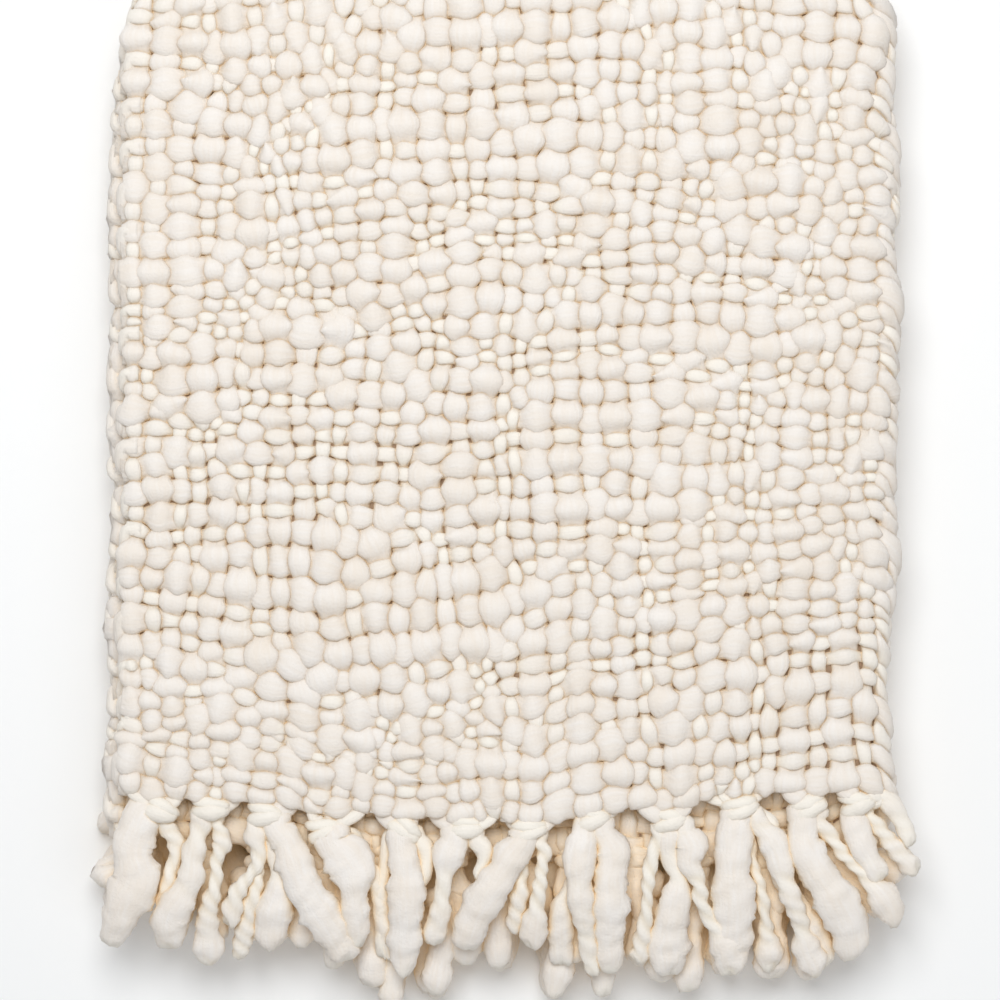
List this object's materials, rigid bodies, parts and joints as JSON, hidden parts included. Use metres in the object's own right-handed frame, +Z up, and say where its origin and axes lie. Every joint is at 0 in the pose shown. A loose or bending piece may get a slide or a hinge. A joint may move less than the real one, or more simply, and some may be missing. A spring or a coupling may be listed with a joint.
{
  "type": "folded woven throw blanket",
  "caption": "Chunky hand-woven wool throw with a knotted fringe at both ends, folded in half across and again along its length, lying flat with the outer front layer up.",
  "frame": {"origin": "middle of the bounding box's underside, on the surface that the throw lies on", "axes": "+Z up through the folded layers, +Y towards the fold across the length, away from the fringes, +X towards the fold across the width"},
  "size_m": [0.667, 0.9012, 0.0961],
  "materials": {
    "woven_wool": "matt cream roving wool in a chunky plain weave",
    "fringe_wool": "matt cream roving wool, loose and lightly twisted"
  },
  "bodies": {
    "root": {"blanket_cloth": "woven_wool", "fringe_front": "fringe_wool", "fringe_back": "fringe_wool"}
  },
  "joints": []
}
